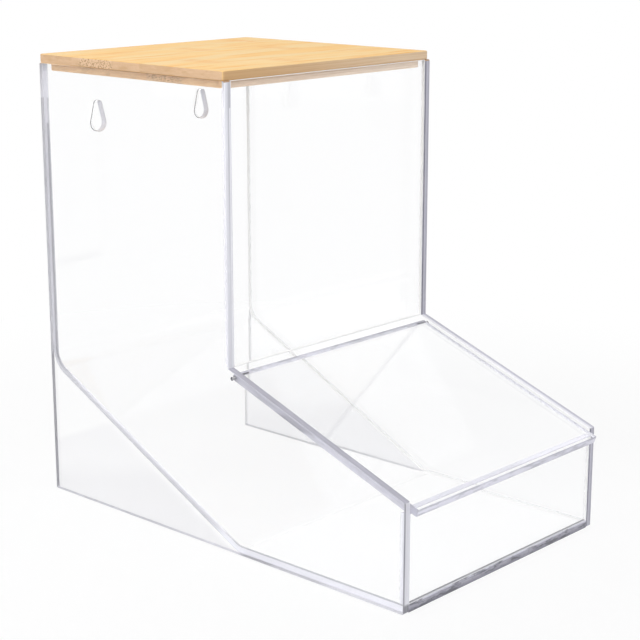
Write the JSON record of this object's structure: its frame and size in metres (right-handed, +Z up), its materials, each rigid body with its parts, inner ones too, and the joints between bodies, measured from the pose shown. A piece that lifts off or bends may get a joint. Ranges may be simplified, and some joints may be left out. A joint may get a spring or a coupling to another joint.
{
  "type": "laundry storage box",
  "caption": "Clear acrylic storage box: a tall hopper with a bamboo lid feeds a ramp and a low front tray under a hinged flap.",
  "frame": {"origin": "centre of the whole part's footprint, on the surface that it stands on", "axes": "+Z up, +Y towards the back wall, +X towards the right side seen from the front"},
  "size_m": [0.152, 0.2546, 0.2385],
  "materials": {
    "clear_acrylic": "clear cast acrylic sheet, glossy faces, polished edges that look lavender grey",
    "bamboo": "laminated bamboo board, satin, grain along the box's width",
    "pin_steel": "plain drawn steel pin"
  },
  "bodies": {
    "box": {"side_panel_left": "clear_acrylic", "side_panel_right": "clear_acrylic", "back_ramp_floor": "clear_acrylic", "upper_front_panel": "clear_acrylic", "lower_front_panel": "clear_acrylic", "hinge_pin_left": "pin_steel", "hinge_pin_right": "pin_steel", "lid_top_board": "bamboo", "lid_inner_board": "bamboo"},
    "flap": {"flap": "clear_acrylic"}
  },
  "joints": [
    {"name": "flap_hinge", "type": "hinge", "parent": "box", "child": "flap", "pos_m": [0, -0.01325, 0.09045], "axis": [-1, 0, 0], "range_deg": [0, 109]}
  ]
}
